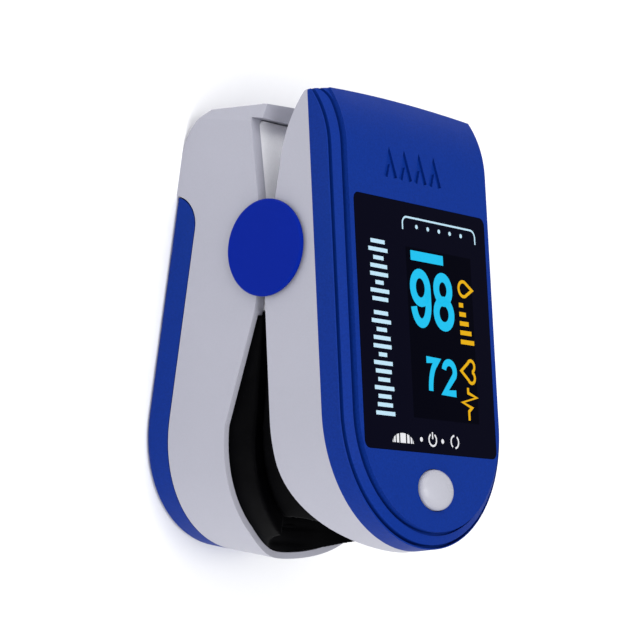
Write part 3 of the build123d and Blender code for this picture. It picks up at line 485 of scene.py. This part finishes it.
def unit_marks():
    """A drop with level bars beside the upper numerals, and a heart with a pulse line beside the lower."""
    polygons = []
    drop = drop_outline((8.3, -4.4), 2.0)
    polygons += ribbon(drop, 0.42, closed=True)
    left, thick = 7.2, 0.6
    for step in range(5):
        y = -6.3 - step * 1.22
        right = 8.1 + 0.5 * step
        polygons.append([(left, y - thick), (right, y - thick), (right, y), (left, y)])
    heart = arc((9.1, -14.6), 0.75, 0.75, -60, 150, steps=10)
    heart += [(6.95, -15.35)]
    heart += arc((9.1, -16.1), 0.75, 0.75, -150, 60, steps=10)
    polygons += ribbon(heart, 0.42, closed=True)
    pulse = [
        (8.2, -17.5), (8.2, -18.2), (10.0, -18.7), (6.9, -19.5), (8.9, -20.1), (8.2, -20.6), (8.2, -21.8)
    ]
    polygons += ribbon(pulse, 0.42)
    return printed("unit_marks", polygons, lit_orange, LIT_HEIGHT)


# ---------------------------------------------------------------- print on the window
BARS_X = -9.35              # middle of the column of pulse bars


def window_print():
    """The bracket with its dots over the display, and the column of pulse bars beside it."""
    polygons = []
    left = [(-4.04, 2.1)] + arc((-3.1, 2.87), 0.94, 0.94, 180, 90, steps=8)
    right = arc((10.54, 2.83), 0.94, 0.94, 90, 0, steps=8) + [(11.48, 1.93)]
    polygons += ribbon(left + right, 0.25)
    for x in (-1.11, 1.28, 3.65, 5.98, 8.40):
        polygons.append(disc((x, 2.73), 0.28))
    thick = 0.52
    for first_y, count in ((0.1, 8), (-9.1, 13)):
        for step in range(count):
            y = first_y - 1.06 * step
            half_length = 0.75 + 1.2 * abs(math.sin(1.15 * step + 0.6))
            left, right = BARS_X - half_length, BARS_X + half_length
            polygons.append([(left, y - thick), (right, y - thick), (right, y), (left, y)])
    return printed("window_print", polygons, print_pale, INK_HEIGHT)


def window_icons():
    """The striped dome, the power sign and the turn sign under the display."""
    polygons = []
    foot = -25.6
    dome = arc((-6.09, foot), 2.15, 1.25, 0, 180, steps=24)
    for first, last in ((0, 3), (4, 6), (7, 9), (10, 14), (15, 17), (18, 20), (21, 24)):
        top = dome[first:last + 1]
        polygons.append(top + [(top[-1][0], foot), (top[0][0], foot)])
    for x in (-2.33, 2.12):
        polygons.append(disc((x, -24.92), 0.3))
    stroke = 0.24
    polygons += ribbon(arc((0.04, -24.85), 0.78, 0.78, 122, 418, steps=28), stroke)
    polygons += ribbon([(0.04, -24.75), (0.04, -23.85)], stroke)
    for start in (95, 275):
        polygons += ribbon(arc((4.72, -24.83), 0.8, 0.8, start, start + 140, steps=14), stroke)
    return printed("window_icons", polygons, print_white, INK_HEIGHT)


numerals()
unit_marks()
window_print()
window_icons()


# ---------------------------------------------------------------- silicone pads
def evaluated(piece):
    """The piece's mesh with its modifiers applied."""
    bpy.context.view_layer.update()
    graph = bpy.context.evaluated_depsgraph_get()
    return bpy.data.meshes.new_from_object(piece.evaluated_get(graph))


def joined_copy(node):
    """A copy of a CAD node's mesh with its doubled corners joined."""
    mesh = frame["nodes"][node].data.copy()
    graph = bmesh.new()
    graph.from_mesh(mesh)
    bmesh.ops.remove_doubles(graph, verts=graph.verts, dist=0.001 * MM)
    graph.to_mesh(mesh)
    graph.free()
    return mesh


PAD_VOXEL = 0.18
RIDGE_DEPTH = 0.16
RIDGE_PITCH = 2.1
CHANNEL_HALF = 7.5          # the ridges fade out at this distance from the middle
LENS_Y = -21.0
LENS_CLEAR = 3.4            # no ridges within this distance of the lens


def soft_pad(node, place, ridge_phase):
    """A silicone pad: the CAD shape with rounded edges and low grip ridges across the finger's channel."""
    blank = bpy.data.objects.new(node + "_blank", joined_copy(node))
    bpy.context.scene.collection.objects.link(blank)
    remesh = blank.modifiers.new("remesh", "REMESH")
    remesh.mode = "VOXEL"
    remesh.voxel_size = PAD_VOXEL * MM
    smooth = blank.modifiers.new("smooth", "SMOOTH")
    smooth.iterations = 9
    smooth.factor = 0.5
    result = evaluated(blank)
    bpy.data.objects.remove(blank)
    to_local = place.inverted()
    turn = to_local.to_3x3()
    normals = [vertex.normal.copy() for vertex in result.vertices]
    for vertex, normal in zip(result.vertices, normals):
        local = to_local @ vertex.co / MM
        facing = (turn @ normal).normalized()
        in_channel = max(0.0, 1 - abs(local.x) / CHANNEL_HALF) * max(0.0, abs(facing.z) - 0.3)
        from_lens = math.hypot(local.x, local.y - LENS_Y)
        keep = min(1.0, max(0.0, (from_lens - LENS_CLEAR) / 1.5))
        wave = 0.5 + 0.5 * math.cos((local.y + ridge_phase) * math.tau / RIDGE_PITCH)
        vertex.co -= normal * (RIDGE_DEPTH * wave * wave * min(1.0, in_channel * 2.2) * keep * MM)
    for polygon in result.polygons:
        polygon.use_smooth = True
    body = "display_half" if node == "upper_pad" else "battery_half"
    piece = add_piece(node + "_moulded", result, materials["silicone"], body)
    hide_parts(node)
    return piece


soft_pad("lower_pad", BATTERY_FRAME, 0.0)
soft_pad("upper_pad", DISPLAY_FRAME, 1.0)


# ---------------------------------------------------------------- wire springs
def wire(name, points, radius, place):
    """A round wire along a line of points, in millimetres."""
    curve = bpy.data.curves.new(name, "CURVE")
    curve.dimensions = "3D"
    curve.bevel_depth = radius * MM
    curve.bevel_resolution = 3
    curve.use_fill_caps = True
    spline = curve.splines.new("POLY")
    spline.points.add(len(points) - 1)
    for target, point in zip(spline.points, points):
        target.co = (*(place @ (Vector(point) * MM)), 1.0)
    blank = bpy.data.objects.new(name + "_line", curve)
    bpy.context.scene.collection.objects.link(blank)
    mesh = evaluated(blank)
    bpy.data.objects.remove(blank)
    for polygon in mesh.polygons:
        polygon.use_smooth = True
    return mesh


def torsion_spring(node, side):
    """The closing spring: close turns round the hinge, with one arm bearing on each half."""
    low, high = local_box(node, BATTERY_FRAME)
    near, far = sorted((abs(low.x), abs(high.x)))
    wire_r, coil_r, arm = 0.28, 2.4, 5.0
    lower_tilt, turns, steps = math.radians(12), 3, 32
    first, last = near + wire_r, far - wire_r
    start = -math.pi / 2 - lower_tilt
    end = math.pi / 2 - JAW_TILT + math.tau * turns
    line = [(side * first, arm * math.cos(lower_tilt), -coil_r - arm * math.sin(lower_tilt))]
    count = steps * turns
    for step in range(count + 1):
        share = step / count
        angle = start + (end - start) * share
        x = side * (first + (last - first) * share)
        line.append((x, coil_r * math.cos(angle), coil_r * math.sin(angle)))
    top = Vector(line[-1])
    line.append((top.x, top.y + arm * math.cos(JAW_TILT), top.z - arm * math.sin(JAW_TILT)))
    mesh = wire(node, line, wire_r, BATTERY_FRAME)
    piece = add_piece(node + "_wire", mesh, materials["spring_steel"], None)
    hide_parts(node)
    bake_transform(piece)
    return piece


def contact_spring(node, wide_at_low_y):
    """A conical spring that presses on a cell's flat end."""
    low, high = local_box(node, BATTERY_FRAME)
    centre_x, centre_z = (low.x + high.x) / 2, (low.z + high.z) / 2
    wire_r, wide, slim, turns, steps = 0.25, 2.35, 1.3, 4, 24
    line = []
    for step in range(turns * steps + 1):
        share = step / (turns * steps)
        radius = wide + (slim - wide) * (share if wide_at_low_y else 1 - share)
        angle = math.tau * turns * share
        y = low.y + wire_r + (high.y - low.y - 2 * wire_r) * share
        line.append((centre_x + radius * math.cos(angle), y, centre_z + radius * math.sin(angle)))
    mesh = wire(node, line, wire_r, BATTERY_FRAME)
    piece = add_piece(node + "_wire", mesh, materials["spring_steel"], "battery_half")
    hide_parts(node)
    return piece


for spring in ("torsion_spring_left", "torsion_spring_right"):
    torsion_spring(spring, -1 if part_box(spring)[0].x < 0 else 1)
contact_spring("mouth_end_spring", True)
contact_spring("pinch_end_spring", False)


# ---------------------------------------------------------------- ribbon across the hinge
def hinge_ribbon():
    """The ribbon's own mesh between the halves, attached to neither half and left as it is when the jaws open."""
    film = joined_copy("hinge_ribbon")
    piece = add_piece("hinge_ribbon_film", film, materials["ribbon_film"], None)
    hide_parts("hinge_ribbon")
    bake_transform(piece)
    return piece


hinge_ribbon()


# ---------------------------------------------------------------- camera, floor and light
def studio():
    """A camera at the viewing angle, a plain pale floor and soft disc lights."""
    camera_data = bpy.data.cameras.new("camera")
    camera_data.sensor_width = 36.0
    camera_data.lens = 140.26
    camera_data.clip_start = 0.01
    camera_data.clip_end = 20.0
    camera = bpy.data.objects.new("camera", camera_data)
    forward = Vector((0.7597, 0.0170, -0.6500)).normalized()
    up = Vector((-0.0986, 0.9910, -0.0890)).normalized()
    right = forward.cross(up).normalized()
    up = right.cross(forward)
    turn = Matrix((right, up, -forward)).transposed().to_4x4()
    camera.matrix_world = Matrix.Translation(HINGE + Vector((-252.3, -13.6, 211.84)) * MM) @ turn
    bpy.context.scene.collection.objects.link(camera)
    bpy.context.scene.camera = camera

    graph = bmesh.new()
    bmesh.ops.create_grid(graph, x_segments=8, y_segments=8, size=3.0)
    mesh = bpy.data.meshes.new("floor")
    graph.to_mesh(mesh)
    graph.free()
    floor = bpy.data.objects.new("floor", mesh)
    bpy.context.scene.collection.objects.link(floor)
    material, tree, shader = new_material("floor_paper")
    fibre = noise_node(tree, 900, detail=4.0)
    tint = mix_colour(tree, fibre, (0.965, 0.965, 0.965, 1), (0.985, 0.985, 0.985, 1))
    tree.links.new(tint, shader.inputs["Base Color"])
    set_inputs(shader, Roughness=0.9)
    mesh.materials.append(material)

    world = bpy.data.worlds.new("studio")
    bpy.context.scene.world = world
    world.use_nodes = True
    background = world.node_tree.nodes["Background"]
    background.inputs["Color"].default_value = (0.95, 0.96, 1.0, 1.0)
    background.inputs["Strength"].default_value = 0.55

    for name, place, size, power in (
        ("key", (-0.20, 0.05, 0.80), 0.6, 3.5),
        ("fill", (-0.75, -0.45, 0.35), 0.7, 0.7),
        ("pinch_side", (-0.20, 0.62, 0.42), 0.6, 2.2),
        ("mouth_side", (-0.10, -0.75, 0.30), 0.6, 2.4),
    ):
        light = bpy.data.lights.new(name, "AREA")
        light.shape = "DISK"
        light.size = size
        light.energy = power
        lamp = bpy.data.objects.new(name, light)
        lamp.location = place
        lamp.rotation_euler = (-Vector(place)).to_track_quat("-Z", "Y").to_euler()
        bpy.context.scene.collection.objects.link(lamp)
    bpy.context.scene.view_settings.view_transform = "Standard"


studio()
